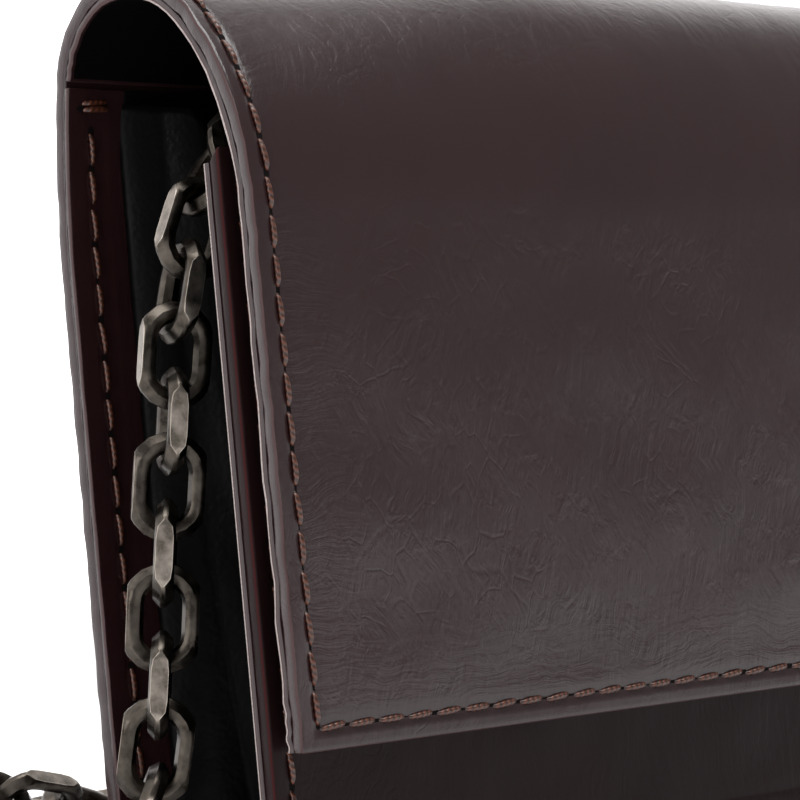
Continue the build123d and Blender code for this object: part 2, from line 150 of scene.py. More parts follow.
camera_data = bpy.data.cameras.new("camera")
camera_data.lens, camera_data.sensor_width = 135.0, 36.0
camera_data.clip_start, camera_data.clip_end = 0.01, 50.0
camera = bpy.data.objects.new("camera", camera_data)
camera_right = Vector((0.74290, -0.66300, -0.09231))
camera_forward = Vector((0.66886, 0.74074, 0.06272))
camera_up = camera_right.cross(camera_forward).normalized()
camera.matrix_world = Matrix((camera_right, camera_up, -camera_forward)).transposed().to_4x4()
camera.location = (-0.3211, -0.2931, 0.0352)
bpy.context.scene.collection.objects.link(camera)
bpy.context.scene.camera = camera


# ---- Chain: 120 oval links of round wire, bent and butted, tumbled, then plated antique
# gunmetal. Both long sides of each link are ground flat. It hangs from a ring at each end.
chain_nodes = sorted(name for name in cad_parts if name.startswith("chain_"))
wire = 2.65 * mm
link_width = 10.0 * mm       # before grinding
ground_off = 0.55 * mm       # from each long side
link_length = 13.68 * mm


def solids_of(node):
    """The separate solids of a CAD node, as arrays of places and areas of their triangles."""
    mesh = node.data
    mesh.calc_loop_triangles()
    corners = np.zeros(len(mesh.vertices) * 3, np.float32)
    mesh.vertices.foreach_get("co", corners)
    corners = corners.reshape(-1, 3)
    weld = 0.001 * mm
    _, same = np.unique(np.round(corners / weld).astype(np.int64), axis=0, return_inverse=True)
    same = same.ravel()
    triangles = np.zeros(len(mesh.loop_triangles) * 3, np.int32)
    mesh.loop_triangles.foreach_get("vertices", triangles)
    triangles = triangles.reshape(-1, 3)
    welded = same[triangles]
    group = np.arange(same.max() + 1)
    while True:
        least = group[welded].min(axis=1)
        lower = group.copy()
        for corner in range(3):
            np.minimum.at(lower, welded[:, corner], least)
        lower = lower[lower]
        if (lower == group).all():
            break
        group = lower
    of_triangle = group[welded[:, 0]]
    for one in np.unique(of_triangle):
        shape = corners[triangles[of_triangle == one]].astype(float)
        area = np.linalg.norm(np.cross(shape[:, 1] - shape[:, 0], shape[:, 2] - shape[:, 0]), axis=1)
        yield shape.mean(axis=1), area


def rest_of(node):
    """Where each link of a CAD node lies: its middle, and its turn with length along X and
    thickness along Z."""
    for middles, area in solids_of(node):
        middle = (middles * area[:, None]).sum(0) / area.sum()
        spread = middles - middle
        _, directions = np.linalg.eigh((spread * area[:, None]).T @ spread)
        thick, broad, long = directions.T
        matrix = Matrix((Vector(long), Vector(thick).cross(Vector(long)), Vector(thick))).transposed()
        yield Vector(middle), matrix.to_euler()


def mesh_of(bm, name):
    """Turns a finished bmesh into a mesh."""
    mesh = bpy.data.meshes.new(name)
    bm.to_mesh(mesh)
    bm.free()
    return mesh


def link_mesh():
    """One link: a round wire bent to an oval, with the outer sides ground flat. The 'ground'
    layer is 1 on a flat, and 'rim' is 1 round its edge, painted bright there: partly rubbed plating, partly
    painted highlight."""
    radius, bend = wire / 2, (link_width - wire) / 2
    leg, flat = (link_length - link_width) / 2, link_width / 2 - ground_off
    flat_end = math.acos(flat / (bend + radius))
    # Angles at which the wire is cut across round each bend: the flats' ends, then the bend
    turns = [-math.pi / 2, -math.pi / 2 + 0.62 * flat_end, -math.pi / 2 + flat_end, -0.95, -0.6, -0.2]
    turns += [-t for t in reversed(turns)]
    stations = []
    for side in (1, -1):
        for turn in turns:
            centre = Vector((side * leg, 0, 0))
            outward = Vector((side * math.cos(turn), side * math.sin(turn), 0))
            stations.append((centre, outward, abs(abs(turn) - math.pi / 2)))
    bm = bmesh.new()
    ground = bm.verts.layers.float.new("ground")
    rim = bm.verts.layers.float.new("rim")
    rings = []
    for centre, outward, off_leg in stations:
        reach = (flat / math.cos(off_leg) - bend) / radius
        edge = max(math.acos(min(reach, 1.0)), 0.12)
        on_flat = off_leg < flat_end + 0.01
        half = [0, 0.55 * edge, edge, edge + 0.14, 1.35, 1.8, 2.3, math.pi]
        angles = half + [-a for a in reversed(half[1:-1])]
        ring = []
        for angle in angles:
            place = centre + outward * (bend + radius * math.cos(angle))
            place.z += radius * math.sin(angle)
            if on_flat and abs(angle) <= edge + 0.001:
                place.y = math.copysign(flat, place.y)
            vert = bm.verts.new(place)
            vert[ground] = float(on_flat and abs(angle) <= edge + 0.001)
            vert[rim] = float(on_flat and abs(abs(angle) - edge) < 0.001)
            ring.append(vert)
        rings.append(ring)
    for i, ring in enumerate(rings):
        following = rings[(i + 1) % len(rings)]
        for j in range(len(ring)):
            k = (j + 1) % len(ring)
            bm.faces.new((ring[j], following[j], following[k], ring[k]))
    bmesh.ops.recalc_face_normals(bm, faces=bm.faces)
    for face in bm.faces:
        face.smooth = True
    mesh = mesh_of(bm, "link")
    mesh.set_sharp_from_angle(angle=math.radians(34))
    return mesh


# A tree that lays one piece at every point of a carrier mesh, turned by its 'turn' layer,
# with a little chance in turn and size
repeat = bpy.data.node_groups.new("lay_pieces", "GeometryNodeTree")
for name, kind in (
    ("Places", "NodeSocketGeometry"), ("Piece", "NodeSocketObject"), ("Finish", "NodeSocketMaterial"),
    ("Turn Chance", "NodeSocketFloat"), ("Size Chance", "NodeSocketFloat"), ("Seed", "NodeSocketInt"),
):
    repeat.interface.new_socket(name, in_out="INPUT", socket_type=kind)
repeat.interface.new_socket("Pieces", in_out="OUTPUT", socket_type="NodeSocketGeometry")
given = add_node(repeat, "NodeGroupInput").outputs
turn = add_node(repeat, "GeometryNodeInputNamedAttribute", {"Name": "turn"}, data_type="FLOAT_VECTOR")
least = add_node(repeat, "Math", {0: given["Turn Chance"], 1: -1.0}, operation="MULTIPLY")
chance = add_node(repeat, "FunctionNodeRandomValue", {
    "Min": least, "Max": given["Turn Chance"], "Seed": given["Seed"],
}, data_type="FLOAT_VECTOR")
turned = add_node(repeat, "VectorMath", {0: turn, 1: chance}, operation="ADD")
as_turn = add_node(repeat, "FunctionNodeEulerToRotation", {"Euler": turned})
smallest = add_node(repeat, "Math", {0: 1.0, 1: given["Size Chance"]}, operation="SUBTRACT")
scale = add_node(repeat, "FunctionNodeRandomValue", {
    "Seed": given["Seed"], 2: smallest, 3: 1.0,
}, data_type="FLOAT")
source = add_node(repeat, "GeometryNodeObjectInfo", {"Object": given["Piece"], "As Instance": True})
laid = add_node(repeat, "GeometryNodeInstanceOnPoints", {
    "Points": given["Places"], "Instance": source.outputs["Geometry"], "Rotation": as_turn,
    "Scale": scale,
})
joined = add_node(repeat, "GeometryNodeRealizeInstances", {"Geometry": laid})
finished = add_node(repeat, "GeometryNodeSetMaterial", {
    "Geometry": joined, "Material": given["Finish"],
})
add_node(repeat, "NodeGroupOutput", {"Pieces": finished})


def lay_pieces(name, places, piece_mesh, finish, turn_chance=0.0, size_chance=0.0, seed=1):
    """Runs the tree over (place, turn) pairs and returns one plain mesh object."""
    carrier_mesh = bpy.data.meshes.new(name + "_places")
    carrier_mesh.from_pydata([place for place, _ in places], [], [])
    layer = carrier_mesh.attributes.new("turn", "FLOAT_VECTOR", "POINT")
    layer.data.foreach_set("vector", np.array([list(turn) for _, turn in places], np.float32).ravel())
    carrier = add_object(name + "_places", carrier_mesh)
    piece = add_object(name + "_piece", piece_mesh)
    modifier = carrier.modifiers.new("lay_pieces", "NODES")
    modifier.node_group = repeat
    values = {
        "Piece": piece, "Finish": finish, "Turn Chance": turn_chance, "Size Chance": size_chance,
        "Seed": seed,
    }
    for item in repeat.interface.items_tree:
        if item.in_out == "INPUT" and item.name in values:
            modifier[item.identifier] = values[item.name]
    evaluated = carrier.evaluated_get(bpy.context.evaluated_depsgraph_get())
    made = add_object(name, bpy.data.meshes.new_from_object(evaluated))
    for spent in (carrier, piece):
        bpy.data.objects.remove(spent)
    return made


def antique_gunmetal(name, worn):
    """Steel or zinc plated dark, then tumbled: charcoal on the round wire, partly patina in the hollows and
    partly painted shade, and a warm nickel grey on flats and rims, partly rubbed plating and partly painted
    highlight, with fine grinding grain. 'worn' is how much is rubbed."""
    material, tree = new_material(name)
    place = add_node(tree, "TexCoord").outputs["Object"]
    cloud = add_node(tree, "TexNoise", {
        "Vector": place, "Scale": 450.0, "Detail": 5.0, "Roughness": 0.6,
    })
    grit = add_node(tree, "TexNoise", {"Vector": place, "Scale": 5200.0, "Detail": 2.0})
    flat = add_node(tree, "Attribute", attribute_name="ground")
    edge = add_node(tree, "Attribute", attribute_name="rim")
    rubbed = add_node(tree, "MapRange", {
        "Value": cloud, "From Min": 0.35, "From Max": 0.7, "To Min": 0.0, "To Max": worn,
    })
    # Flats lighter: partly rubbed plating, partly painted highlight
    flat_wear_and_highlight = add_node(tree, "Math", {
        0: flat.outputs["Fac"], 1: 0.45, 2: rubbed,
    }, operation="MULTIPLY_ADD")
    # A thin bright line round each flat: partly rubbed plating, partly painted highlight
    rim_wear_and_highlight = add_node(tree, "MapRange", {
        "Value": edge.outputs["Fac"], "From Min": 0.8, "From Max": 1.0,
    })
    light = add_node(tree, "Math", {0: flat_wear_and_highlight, 1: rim_wear_and_highlight}, operation="ADD", use_clamp=True)
    # Dark end partly patina, partly painted shade; light end partly rubbed plating, partly painted
    # highlight
    colour = add_node(tree, "ValToRGB", {"Fac": light})
    ramp = colour.color_ramp.elements
    ramp[0].color, ramp[1].color = linear("#2b2723"), linear("#aca399")
    ramp.new(0.5).color = linear("#5c564f")
    rough = add_node(tree, "MapRange", {
        "Value": cloud, "From Min": 0.3, "From Max": 0.7, "To Min": 0.24, "To Max": 0.4,
    })
    both = add_node(tree, "Math", {0: grit, 1: 0.35, 2: cloud}, operation="MULTIPLY_ADD")
    relief = add_node(tree, "Bump", {"Height": both, "Strength": 0.35, "Distance": 0.05 * mm})
    show(tree, add_node(tree, "BsdfPrincipled", {
        "Base Color": colour, "Metallic": 1.0, "Roughness": rough,
        "Normal": relief,
    }))
    return material


# Tumbled links: flats and their rims pale, partly rubbed plating and partly painted highlight; the rest
# charcoal, partly patina and partly painted shade
chain_plating = antique_gunmetal("tumbled_antique_gunmetal_plating", 0.35)
link_places = [spot for name in chain_nodes for spot in rest_of(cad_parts[name])]
chain = lay_pieces("chain", link_places, link_mesh(), chain_plating)
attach(chain, "shell")
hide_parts(*chain_nodes)


# ---- Outer leather: one oxblood calf hide, polished, from the flap's hem over the crown and
# down the back, over stiff board, its edges turned over a thickness of 2 mm.
skin_low, skin_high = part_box("flap_leather")
back_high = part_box("back_leather")[1]
front_face, hem_height, top, half_width = skin_low.y, skin_low.z, skin_high.z, skin_high.x
depth = back_high.y - front_face
body = 2.0 * mm              # leather and board together
wall = 3.0 * mm              # with the facing behind them
# Radii of the fold's bends, and how far round each turns, from the flap to the back
shoulder_radius, heel_radius, back_radius = 40 * mm, 13.5 * mm, 151 * mm
shoulder_turn, crown_turn, heel_turn, back_turn = (math.radians(a) for a in (39, 51, 80, 10))
crown_radius = (
    depth - shoulder_radius * (1 - math.cos(shoulder_turn))
    - heel_radius * math.sin(heel_turn) - back_radius * (1 - math.cos(back_turn))
) / math.cos(shoulder_turn)
crown_start = top - crown_radius * (1 - math.cos(crown_turn))
shoulder_start = crown_start - shoulder_radius * math.sin(shoulder_turn)
flap_outline = [
    (None, shoulder_start - hem_height), (shoulder_radius, shoulder_turn), (crown_radius, crown_turn),
    (heel_radius, heel_turn), (back_radius, back_turn),
]
fold_run = flap_outline[0][1] + sum(radius * turn for radius, turn in flap_outline[1:4])
back_flat_run = fold_run + back_radius * back_turn
fold_place = (
    back_high.y - back_radius * (1 - math.cos(back_turn)),
    top - heel_radius * (1 - math.cos(heel_turn)),
)
flat_top = fold_place[1] - back_radius * math.sin(back_turn)
flap_outline.append((None, flat_top))
skin_run = back_flat_run + flat_top
turned_round = 0.45 * mm     # the turned edge's own rounding
stitch_margin = 2.8 * mm
stitch_pitch = 4.7 * mm


def follow(outline, start, run):
    """Places and outward normals at distances along an outline that starts upwards and is
    made of straight (None, length) and clockwise round (radius, turn) stretches."""
    place, heading, done = np.array(start, float), math.pi / 2, 0.0
    places, normals = np.zeros((len(run), 2)), np.zeros((len(run), 2))
    for radius, reach in outline:
        here = run >= done
        gone = run[here] - done
        if radius is None:
            ahead = np.array((math.cos(heading), math.sin(heading)))
            places[here] = place + np.outer(gone, ahead)
            normals[here] = (-math.sin(heading), math.cos(heading))
            place = place + reach * ahead
            done += reach
        else:
            centre = place + radius * np.array((math.sin(heading), -math.cos(heading)))
            angle = heading - gone / radius
            normals[here] = np.stack([-np.sin(angle), np.cos(angle)], axis=1)
            places[here] = centre + radius * normals[here]
            heading -= reach
            place = centre + radius * np.array((-math.sin(heading), math.cos(heading)))
            done += radius * reach
    return places, normals


def ripple(points, length, seed, count=9):
    """A smooth, uneven wave between about -1 and 1 over an array of points, with bumps of
    roughly that length."""
    chance = random.Random(seed)
    total = np.zeros(len(points))
    for _ in range(count):
        way = np.array([chance.gauss(0, 1) for _ in range(points.shape[1])])
        way *= chance.uniform(0.6, 1.5) * 2 * math.pi / length / max(np.linalg.norm(way), 1e-6)
        total += np.sin(points @ way + chance.uniform(0, 2 * math.pi))
    return total / math.sqrt(count)


def lines_between(low, high, edge, step):
    """Grid lines from low to high: fine ones at both edges, then even steps."""
    near = [0, 0.25, 0.5, 0.8, 1.3, 2.0, 2.9, 3.6, 4.8, 6.2, 7.6, 9.2, 11.5, 15.0]
    near = [n * edge for n in near if n * edge < (high - low) / 2]
    first, last = low + near[-1], high - near[-1]
    count = max(int(round((last - first) / step)), 1)
    middle = [first + (last - first) * i / count for i in range(1, count)]
    return np.array([low + n for n in near] + middle + [high - n for n in reversed(near)])


def sheet_mesh(name, u, v, w, rounding, place, inside_out=False):
    """A closed sheet on three sets of grid lines, with its edges rounded. place(u, v, w, drop)
    gives each point's place, where drop is how far it lies from the sheet's nearest side edge
    over the face (positive) or down the side (negative). 'drop' is kept in millimetres."""
    shape = (len(u), len(v), len(w))
    inner = np.zeros(shape, bool)
    inner[1:-1, 1:-1, 1:-1] = True
    ids = np.full(shape, -1)
    ids[~inner] = np.arange((~inner).sum())
    i, j, k = np.nonzero(~inner)
    points = np.stack([u[i], v[j], w[k]], axis=1)
    low, high = np.array([u[0], v[0], w[0]]), np.array([u[-1], v[-1], w[-1]])
    reach = np.minimum(rounding, (high - low) / 2)
    core = np.clip(points, low + reach, high - reach)
    away = points - core
    length = np.linalg.norm(away, axis=1)
    longest = np.abs(away).max(axis=1)
    away *= np.where(length > 0, longest / np.maximum(length, 1e-12), 1)[:, None]
    over = np.minimum(points[:, :2] - low[:2], high[:2] - points[:, :2]).min(axis=1)
    down = high[2] - points[:, 2]
    drop = np.where(down > 1e-9, -down, over)
    at_back = points[:, 2] <= low[2] + 1e-9
    drop = np.where(at_back & (over > 1e-9), -(high[2] - low[2]) - over, drop)
    rounded = core + away
    out = place(rounded[:, 0], rounded[:, 1], rounded[:, 2], drop)
    faces = []
    for grid, back_to_front in (
        (ids[:, :, 0], True), (ids[:, :, -1], False), (ids[0], True), (ids[-1], False),
        (ids[:, 0], False), (ids[:, -1], True),
    ):
        a, b, c, d = grid[:-1, :-1], grid[1:, :-1], grid[1:, 1:], grid[:-1, 1:]
        quads = np.stack([a, b, c, d], axis=-1).reshape(-1, 4)
        faces.append(quads[:, ::-1] if back_to_front != inside_out else quads)
    mesh = bpy.data.meshes.new(name)
    mesh.from_pydata(out.tolist(), [], np.concatenate(faces).tolist())
    layer = mesh.attributes.new("drop", "FLOAT", "POINT")
    layer.data.foreach_set("value", (drop / mm).astype(np.float32))
    mesh.shade_smooth()
    return mesh


def polished_leather(name, base, gloss, crinkle, raw_from=None, specular=0.5):
    """Calf leather dyed oxblood, plated and polished under lacquer: a hard gloss over the
    hide's own crinkle, a tight crease at each turned edge that shows the red dye, and, where
    raw_from is given, a line of pale cut fibre at that depth down the edge."""
    material, tree = new_material(name)
    place = add_node(tree, "TexCoord").outputs["Object"]
    warp = add_node(tree, "TexNoise", {"Vector": place, "Scale": 55.0, "Detail": 3.0})
    bent = add_node(tree, "VectorMath", {
        0: warp.outputs["Color"], 1: (0.012, 0.012, 0.012),
    }, operation="MULTIPLY")
    moved = add_node(tree, "VectorMath", {0: place, 1: bent}, operation="ADD")
    # Upright hairline wrinkles, about 1.5 mm apart and ten times as long
    upright = add_node(tree, "Mapping", {
        "Vector": moved, "Scale": (700.0, 700.0, 60.0), "Rotation": (0, 0.12, 0),
    })
    hair = add_node(tree, "TexNoise", {
        "Vector": upright, "Scale": 1.0, "Detail": 4.0, "Roughness": 0.65,
    })
    # Creases: the borders of warped cells about 9 mm wide and 22 mm tall, and of finer ones
    # 3 mm wide and 7 mm tall, only here and there
    borders = []
    for across, along, lean, edge in ((110.0, 45.0, 0.5, 0.035), (330.0, 150.0, -0.7, 0.05)):
        cells = add_node(tree, "Mapping", {
            "Vector": moved, "Scale": (across, across, along), "Rotation": (0, lean, 0),
        })
        crease = add_node(tree, "TexVoronoi", {"Vector": cells, "Scale": 1.0}, feature="DISTANCE_TO_EDGE")
        borders.append(add_node(tree, "MapRange", {
            "Value": crease, "From Max": edge,
        }, interpolation_type="SMOOTHSTEP"))
    where = add_node(tree, "TexNoise", {"Vector": place, "Scale": 28.0, "Detail": 2.0})
    patch = add_node(tree, "MapRange", {"Value": where, "From Min": 0.46, "From Max": 0.62})
    some, some_fine = (
        add_node(tree, "Mix", {"Factor": patch, "A": 1.0, "B": border}) for border in borders
    )
    swell = add_node(tree, "TexNoise", {"Vector": place, "Scale": 45.0, "Detail": 2.0})
    pores = add_node(tree, "TexNoise", {"Vector": place, "Scale": 2400.0, "Detail": 1.0})
    height = add_node(tree, "Math", {0: swell, 1: 0.25}, operation="MULTIPLY")
    for layer, weight in ((hair, 0.8), (some, 0.1), (some_fine, 0.09), (pores, 0.03)):
        height = add_node(tree, "Math", {0: layer, 1: weight, 2: height}, operation="MULTIPLY_ADD")
    # Short level pulls beside the seam, where each stitch gathers the hide
    drop = add_node(tree, "Attribute", attribute_name="drop").outputs["Fac"]
    level_lines = add_node(tree, "Mapping", {
        "Vector": moved, "Scale": (75.0, 75.0, 900.0), "Rotation": (0, 0.06, 0),
    })
    pulls = add_node(tree, "TexNoise", {
        "Vector": level_lines, "Scale": 1.0, "Detail": 3.0, "Roughness": 0.7,
    })
    beside = add_node(tree, "MapRange", {
        "Value": drop, "From Min": 3.0, "From Max": 16.0, "To Min": 0.5, "To Max": 0.0,
    })
    above = add_node(tree, "MapRange", {"Value": drop, "From Min": 2.6, "From Max": 3.2})
    gathered = add_node(tree, "Math", {0: beside, 1: above}, operation="MULTIPLY")
    height = add_node(tree, "Math", {0: pulls, 1: gathered, 2: height}, operation="MULTIPLY_ADD")
    relief = add_node(tree, "Bump", {"Height": height, "Strength": crinkle, "Distance": 0.45 * mm})
    crease_line = add_node(tree, "Math", {0: drop, 1: -0.2, 2: 0.24}, operation="COMPARE")
    tone = add_node(tree, "Mix", {
        "Factor": swell, "A": linear(base), "B": linear("#1d0f10"),
    }, data_type="RGBA")
    colour = add_node(tree, "Mix", {
        "Factor": crease_line, "A": tone, "B": linear("#2b0a0b"),
    }, data_type="RGBA")
    dull = add_node(tree, "Math", {0: crease_line, 1: 0.35, 2: gloss}, operation="MULTIPLY_ADD")
    if raw_from is not None:
        # The line of fibre shows on the flap's and the panel's edges, not on the back's
        cut = add_node(tree, "Math", {0: drop, 1: raw_from, 2: 0.13}, operation="COMPARE")
        depth_of = add_node(tree, "SeparateXYZ", {"Vector": place})
        ahead = add_node(tree, "MapRange", {
            "Value": depth_of.outputs["Y"], "From Min": 2 * mm, "From Max": -4 * mm,
        })
        raw = add_node(tree, "Math", {0: cut, 1: ahead}, operation="MULTIPLY")
        fibre = add_node(tree, "TexNoise", {"Vector": place, "Scale": 3000.0, "Detail": 3.0})
        pale = add_node(tree, "Mix", {
            "Factor": fibre, "A": linear("#5f5654"), "B": linear("#a89f9b"),
        }, data_type="RGBA")
        colour = add_node(tree, "Mix", {"Factor": raw, "A": colour, "B": pale}, data_type="RGBA")
        dull = add_node(tree, "Math", {
            0: raw, 1: 0.6, 2: dull,
        }, operation="MULTIPLY_ADD", use_clamp=True)
    show(tree, add_node(tree, "BsdfPrincipled", {
        "Base Color": colour, "Roughness": dull, "IOR": 1.47, "Normal": relief,
        "Specular IOR Level": specular,
    }))
    return material


oxblood = polished_leather("polished_oxblood_calf", "#261315", 0.27, 0.26)


crown_rise, crown_rim, crown_fade, crown_spread = 3.6 * mm, 4 * mm, 62 * mm, 19 * mm
crown_middle = flap_outline[0][1] + shoulder_radius * shoulder_turn + crown_radius * crown_turn / 2


def crown_swell(u, v):
    """How far the crown stands proud of its outline in the middle of its width, where the
    board stops and the hide is padded."""
    inward = np.clip((half_width - crown_rim - np.abs(u)) / crown_fade, 0, 1)
    along = np.exp(-(((v - crown_middle) / crown_spread) ** 2))
    return crown_rise * inward * inward * (3 - 2 * inward) * along


def off_skin(u, places, normals, inset):
    """Points at a depth below the wallet's outline, as X, Y, Z."""
    below = places - inset[:, None] * normals
    return np.stack([u, below[:, 0], below[:, 1]], axis=1)


def place_on_skin(u, v, w, drop):
    """A point of the outer leather: u along X, v along the outline, w down from its face.
    The face sinks along the stitches, swells between them and the edge, and is never flat."""
    places, normals = follow(flap_outline, (front_face, hem_height), v)
    across = np.stack([u, v], axis=1)
    on_face = drop > 0
    groove = np.exp(-(((drop - stitch_margin) / (0.55 * mm)) ** 2))
    lift = np.where(on_face, -0.28 * mm * groove, 0)
    broad = 0.05 * mm * ripple(across, 26 * mm, 3) - 0.1 * mm
    lift += np.where(on_face, broad, 0) * np.clip(drop / (6 * mm), 0, 1)
    lift += np.where(on_face, 0.045 * mm * ripple(across * (1, 0.3), 5 * mm, 4), 0)
    inset = -w - lift - crown_swell(u, v)
    worn = 0.09 * mm * (1 + ripple(across[:, 1:], 7 * mm, 6))
    u = u - np.sign(u) * worn * (np.abs(u) > half_width - 2 * mm)
    return off_skin(u, places, normals, inset)


skin = add_object("outer_leather", sheet_mesh(
    "outer_leather",
    lines_between(-half_width, half_width, 0.45 * mm, 2.6 * mm),
    lines_between(0, skin_run, 0.45 * mm, 1.9 * mm),
    np.array([-body, -0.75 * body, -0.4 * body, -0.2 * body, 0]),
    turned_round, place_on_skin, inside_out=True,
), oxblood)
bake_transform(skin)
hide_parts("flap_leather", "back_leather")


# ---- Facings: the flap's underside, the strips turned round the back's sides and the back's
# lining, all 1 mm black or oxblood leather glued to the board, with a cut edge.
def soft_leather(name, base, rough, grain, swell_depth):
    """Aniline nappa or split lining leather, dyed through and only waxed: a fine pebble of
    pores about 0.5 mm across under slow, soft swells, with a satin sheen."""
    material, tree = new_material(name)
    place = add_node(tree, "TexCoord").outputs["Object"]
    pebble = add_node(tree, "TexVoronoi", {"Vector": place, "Scale": grain}, feature="SMOOTH_F1")
    swell = add_node(tree, "TexNoise", {"Vector": place, "Scale": 90.0, "Detail": 3.0})
    height = add_node(tree, "Math", {0: pebble, 1: -0.12, 2: swell}, operation="MULTIPLY_ADD")
    relief = add_node(tree, "Bump", {"Height": height, "Strength": 0.6, "Distance": swell_depth})
    tone = add_node(tree, "Mix", {
        "Factor": pebble, "A": linear(base), "B": linear("#050505"),
    }, data_type="RGBA")
    shine = add_node(tree, "MapRange", {
        "Value": swell, "From Min": 0.3, "From Max": 0.7, "To Min": rough - 0.06, "To Max": rough + 0.08,
    })
    show(tree, add_node(tree, "BsdfPrincipled", {
        "Base Color": tone, "Roughness": shine, "IOR": 1.4,
        "Specular IOR Level": 0.05, "Normal": relief,
    }))
    return material


# Split leather waxed black: almost no gloss, so the inside of the wallet reads as dark
black_lining = soft_leather("waxed_black_lining_leather", "#070606", 0.46, 2100.0, 0.2 * mm)
facing_gap = 0.03 * mm
raw_oxblood = polished_leather("polished_oxblood_strip_with_cut_edge", "#261315", 0.3, 0.3, raw_from=-0.16)


def place_under_flap(u, v, w, drop):
    """A point of the flap's facing, w measured down from its inner face."""
    places, normals = follow(flap_outline, (front_face, hem_height), v)
    across = np.stack([u, v], axis=1)
    inset = wall + w + 0.06 * mm * (1 + ripple(across, 9 * mm, 12)) * (w > -0.2 * mm)
    inset = inset - crown_swell(u, v)
    ragged = 0.12 * mm * (1 + ripple(across[:, 1:], 2.6 * mm, 13))
    u = u - np.sign(u) * ragged * (np.abs(u) > half_width - mm)
    return off_skin(u, places, normals, inset)


facing_lines = np.array([-(wall - body) + facing_gap, -0.7 * mm, -0.35 * mm, -0.12 * mm, 0])
flap_facing = add_object("flap_facing", sheet_mesh(
    "flap_facing",
    lines_between(-half_width + 0.1 * mm, half_width - 0.1 * mm, 0.4 * mm, 5 * mm),
    lines_between(0.1 * mm, fold_run - 0.4 * mm, 0.4 * mm, 2.4 * mm),
    facing_lines, 0.12 * mm, place_under_flap,
), raw_oxblood, black_lining)
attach(flap_facing, "flap")
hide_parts("flap_lining")


def paint_inside(piece, edge_width):
    """Gives the second material to a facing's flat face and leaves the first on its rim."""
    drops = np.zeros(len(piece.data.vertices), np.float32)
    piece.data.attributes["drop"].data.foreach_get("value", drops)
    for face in piece.data.polygons:
        if min(drops[i] for i in face.vertices) > edge_width / mm:
            face.material_index = 1


paint_inside(flap_facing, 0.5 * mm)


def place_inside_back(u, v, w, drop):
    """A point of the back's inner layer, w measured down from its inner face."""
    places, normals = follow(flap_outline, (front_face, hem_height), v)
    across = np.stack([u, v], axis=1)
    groove = np.exp(-(((drop - hem_margin) / (0.6 * mm)) ** 2))
    inset = wall + w - 0.1 * mm * groove * (w > -0.2 * mm)
    inset -= 0.05 * mm * (1 + ripple(across, 11 * mm, 22)) * (w > -0.2 * mm)
    return off_skin(u, places, normals, inset)


hem_width = 9.0 * mm
hem_margin = 3.7 * mm        # stitches to the hem's outer edge
back_lines = lines_between(fold_run + 0.5 * mm, skin_run - 0.1 * mm, 0.4 * mm, 2.6 * mm)
for side, word in ((-1, "left"), (1, "right")):
    name = f"back_hem_{word}"
    edges = sorted((side * (half_width - 0.05 * mm), side * (half_width - hem_width)))
    hem = add_object(name, sheet_mesh(
        name, lines_between(*edges, 0.3 * mm, 0.8 * mm), back_lines, facing_lines, 0.2 * mm,
        place_inside_back,
    ), oxblood)
    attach(hem, "shell")
    if side > 0:
        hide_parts("back_side_hems")
lining_half = half_width - hem_width - facing_gap
back_lining = add_object("back_lining_sheet", sheet_mesh(
    "back_lining_sheet", lines_between(-lining_half, lining_half, 0.4 * mm, 4 * mm), back_lines,
    facing_lines, 0.15 * mm, place_inside_back,
), black_lining)
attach(back_lining, "shell")
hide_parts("back_lining")


# ---- Flat sheets: front panel, base, pocket walls, card slots and slip pocket, each cut from
# leather, its edges skived and rounded over, bowing and rippling a little as sewn leather does.
softness = 0.12 * mm         # how far a sheet bows between its edges


def flat_sheet(name, node, thin, face, materials, body_name, slot, step=4 * mm, rounding=0.3 * mm,
               shape=None):
    """A sheet in a CAD node's box. thin is its thin axis (0, 1 or 2), face is the sign of
    the side that shows. shape(places, drop) may bend it further."""
    low, high = (np.array(corner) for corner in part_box(node))
    u_axis, v_axis = [axis for axis in range(3) if axis != thin]
    thick = high[thin] - low[thin]
    surface = high[thin] if face > 0 else low[thin]
    seed = sum(map(ord, name))

    def place(u, v, w, drop):
        out = np.zeros((len(u), 3))
        out[:, u_axis], out[:, v_axis] = u, v
        across = np.stack([u, v], axis=1)
        at_face = w > -0.3 * thick
        bow = softness * (1 + ripple(across, 16 * mm, seed)) * 0.5
        dip = bow * np.clip(drop / (4 * mm), 0, 1) * at_face
        dip += 0.12 * mm * np.exp(-(((drop - stitch_margin) / (0.5 * mm)) ** 2)) * at_face
        out[:, thin] = surface + face * (w - dip)
        return shape(out, drop) if shape else out

    order = (-1) ** thin * face
    mesh = sheet_mesh(
        name, lines_between(low[u_axis], high[u_axis], 0.4 * mm, step),
        lines_between(low[v_axis], high[v_axis], 0.4 * mm, step),
        thick * np.array([-1, -0.7, -0.35, -0.12, 0]), rounding, place, inside_out=order < 0,
    )
    made = add_object(name, mesh, *materials)
    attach(made, body_name)
    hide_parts(node)
    return made


front_low, front_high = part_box("front_leather")
panel_slope = 2.8 / 3.0      # the panel's top falls backwards, mm per mm of thickness
# The same calf under the flap, where less light reaches it: darker, with a weaker gloss
panel_oxblood = polished_leather("shaded_polished_oxblood_calf", "#130a0a", 0.32, 0.22, specular=0.1)


def slope_top(places, drop):
    """Cuts the front panel's top edge on its slope."""
    near_top = np.clip((places[:, 2] - (front_high.z - 5 * mm)) / (5 * mm), 0, 1)
    places[:, 2] -= near_top * panel_slope * np.maximum(places[:, 1] - front_low.y, 0)
    return places


